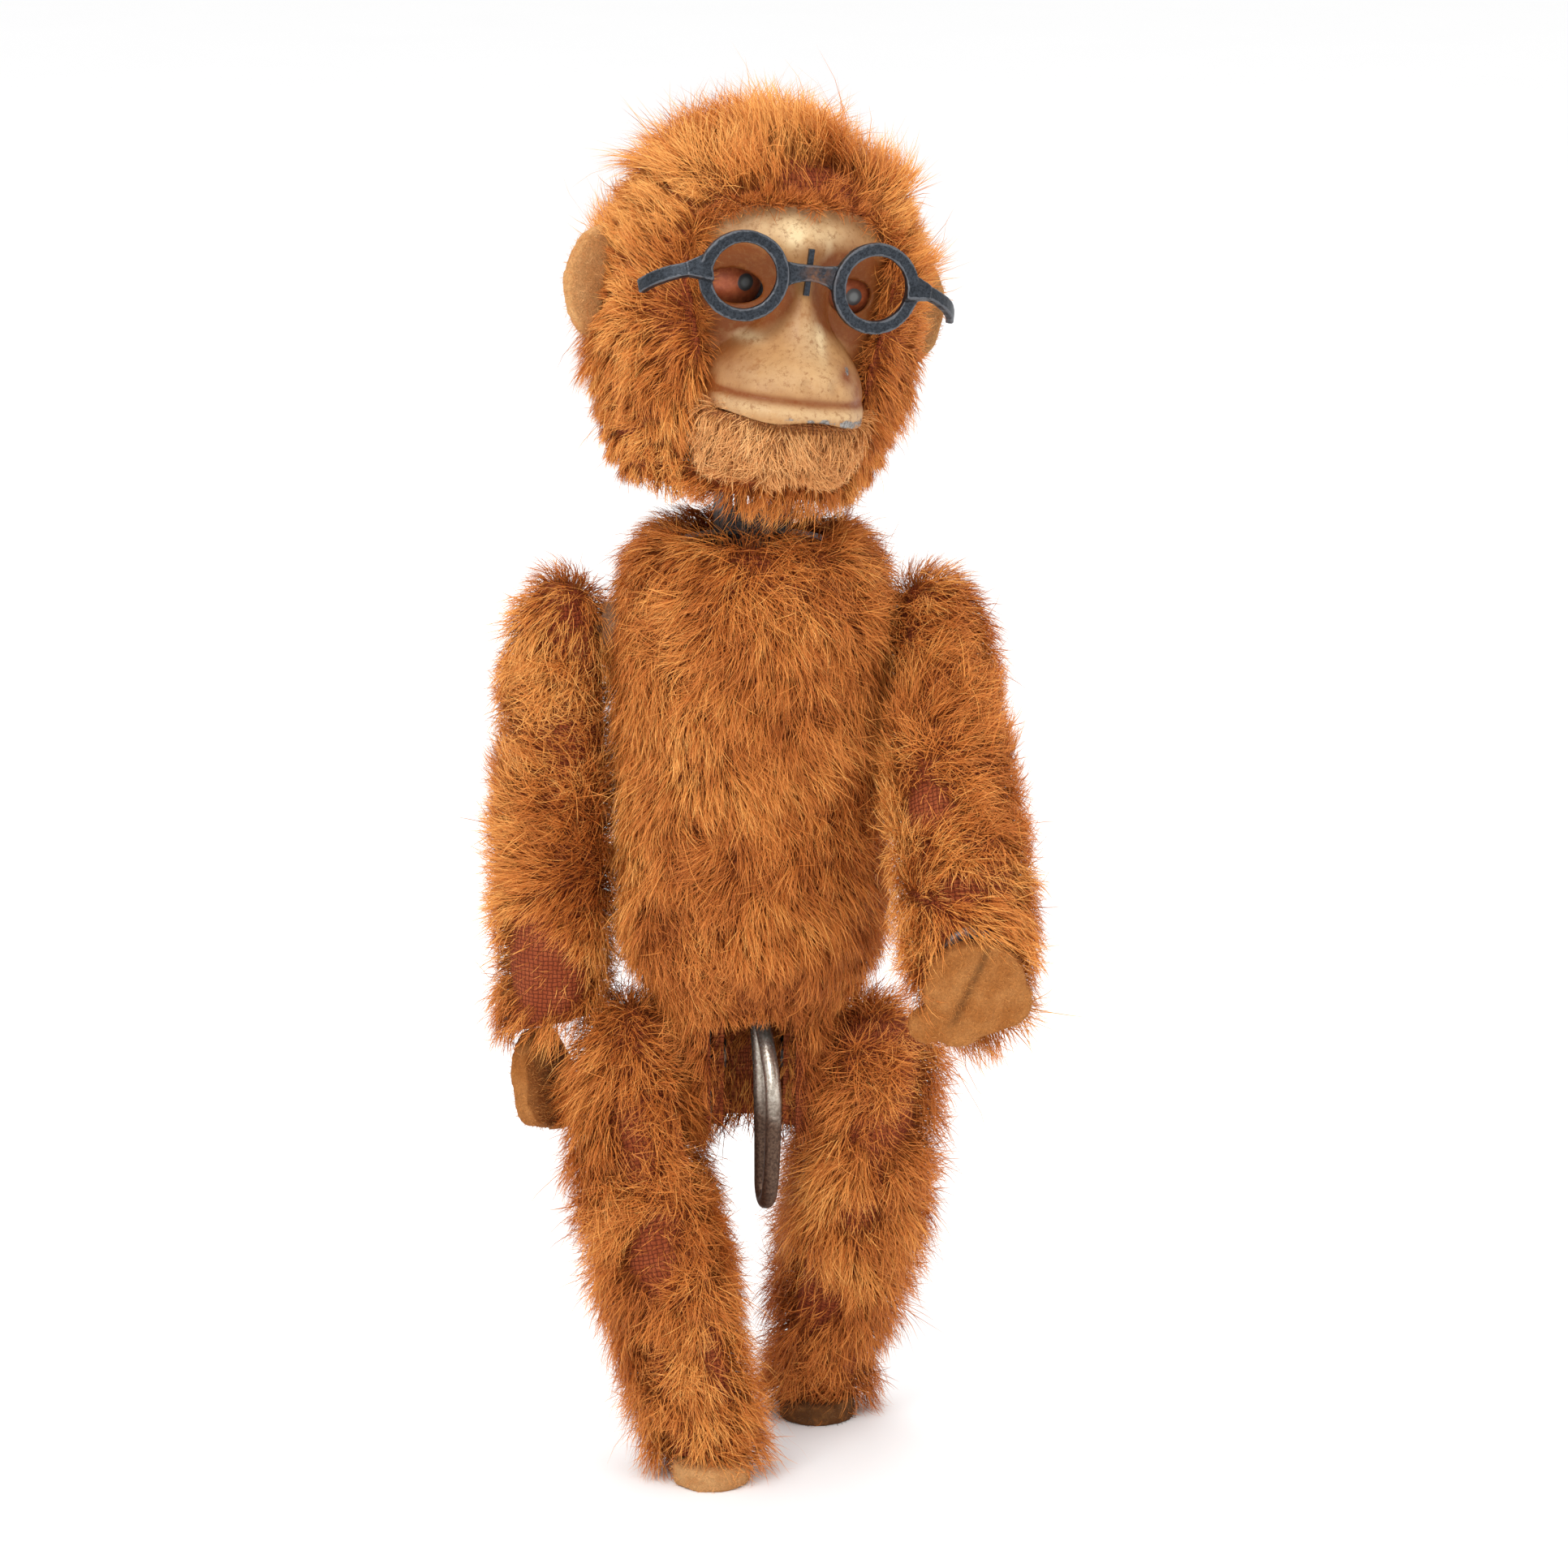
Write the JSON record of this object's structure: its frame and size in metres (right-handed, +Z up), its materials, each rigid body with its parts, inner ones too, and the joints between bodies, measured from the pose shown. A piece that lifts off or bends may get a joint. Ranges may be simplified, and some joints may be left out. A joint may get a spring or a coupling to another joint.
{
  "type": "jointed miniature monkey toy",
  "caption": "Small jointed plush monkey with a tin face mask and wire spectacles; a wire lever between the legs turns and nods its head.",
  "frame": {"origin": "on the floor, under the middle of the whole toy's bounding box", "axes": "+Z up, the monkey faces -Y, +X towards its own left hand"},
  "size_m": [0.0485, 0.0406, 0.1246],
  "materials": {
    "mohair": "cut mohair pile over a woven cloth backing, worn in places",
    "chin_mohair": "short pale mohair pile",
    "felt": "soft pressed felt, soiled at the edges",
    "fibre": "pressed fibre board",
    "mask_paint": "cream paint over tin, brown with age and worn at the lip",
    "eye": "glossy reddish brown paint with a grey pupil",
    "gunmetal": "blackened tin, worn grey at the edges",
    "tin": "dull tinplate",
    "steel": "plain steel, darkened",
    "wire": "bright steel wire, brown where it is handled"
  },
  "bodies": {
    "torso": {"inner_frame": "steel", "torso_shell_front": "tin", "torso_shell_back": "tin", "torso_cover_front": "mohair", "torso_cover_back": "mohair", "pelvis_lining": "mohair", "shell_tabs": "tin", "right_shoulder_pin": "steel", "left_shoulder_pin": "steel", "right_hip_pin": "steel", "left_hip_pin": "steel", "right_shoulder_spacer": "fibre", "left_shoulder_spacer": "fibre", "right_hip_washer": "fibre", "left_hip_washer": "fibre", "collar_washer": "steel"},
    "neck_shaft": {"turn_shaft": "steel", "neck_yoke": "steel", "nod_pin": "steel", "lever_clevis": "steel", "lever_pin": "steel", "shaft_collar": "steel", "clevis_washer": "steel"},
    "head": {"head_bracket": "steel", "skull_front": "tin", "skull_back": "tin", "head_base_ring": "tin", "crown_cover": "mohair", "right_cheek_cover": "mohair", "left_cheek_cover": "mohair", "chin_cover": "chin_mohair", "face_mask": "mask_paint", "right_eye": "eye", "left_eye": "eye", "eye_bracket": "tin", "spectacles": "gunmetal", "spectacle_clip": "gunmetal", "right_ear": "felt", "left_ear": "felt", "upper_rod_pin": "steel"},
    "lever": {"lever_hub": "steel", "wire_lever": "wire", "lower_rod_pin": "steel"},
    "push_rod": {"push_rod": "steel"},
    "right_arm": {"right_arm_core": "tin", "right_arm_cover": "mohair", "right_hand": "felt"},
    "left_arm": {"left_arm_core": "tin", "left_arm_cover": "mohair", "left_hand": "felt"},
    "right_leg": {"right_leg_core": "tin", "right_leg_cover": "mohair", "right_foot": "felt"},
    "left_leg": {"left_leg_core": "tin", "left_leg_cover": "mohair", "left_foot": "felt"}
  },
  "joints": [
    {"name": "head_turn", "type": "hinge", "parent": "torso", "child": "neck_shaft", "pos_m": [-0.00134, 0.00298, 0.06], "axis": [0, 0, 1], "range_deg": [-35, 10]},
    {"name": "head_nod", "type": "hinge", "parent": "neck_shaft", "child": "head", "pos_m": [-0.00134, 0.00298, 0.095], "axis": [-0.9659, -0.2588, 0], "range_deg": [-10, 10]},
    {"name": "lever_swing", "type": "hinge", "parent": "neck_shaft", "child": "lever", "pos_m": [-0.00134, 0.00298, 0.046], "axis": [-0.9659, -0.2588, 0], "range_deg": [-10, 10]},
    {"name": "rod_swing", "type": "hinge", "parent": "lever", "child": "push_rod", "pos_m": [-0.0025, 0.00733, 0.046], "axis": [-0.9659, -0.2588, 0], "range_deg": [-10, 10]},
    {"name": "right_shoulder", "type": "hinge", "parent": "torso", "child": "right_arm", "pos_m": [-0.01924, 0.00298, 0.079], "axis": [-1, 0, 0], "range_deg": [-58, 112]},
    {"name": "left_shoulder", "type": "hinge", "parent": "torso", "child": "left_arm", "pos_m": [0.01526, 0.00298, 0.079], "axis": [-1, 0, 0], "range_deg": [-22, 75]},
    {"name": "right_hip", "type": "hinge", "parent": "torso", "child": "right_leg", "pos_m": [-0.01254, 0.00298, 0.0385], "axis": [-1, 0, 0], "range_deg": [-43, 82]},
    {"name": "left_hip", "type": "hinge", "parent": "torso", "child": "left_leg", "pos_m": [0.00986, 0.00298, 0.0385], "axis": [-1, 0, 0], "range_deg": [-12, 113]}
  ],
  "couplings": [
    {"joint": "lever_swing", "follows": "head_nod", "ratio": 1},
    {"joint": "rod_swing", "follows": "head_nod", "ratio": -1}
  ]
}
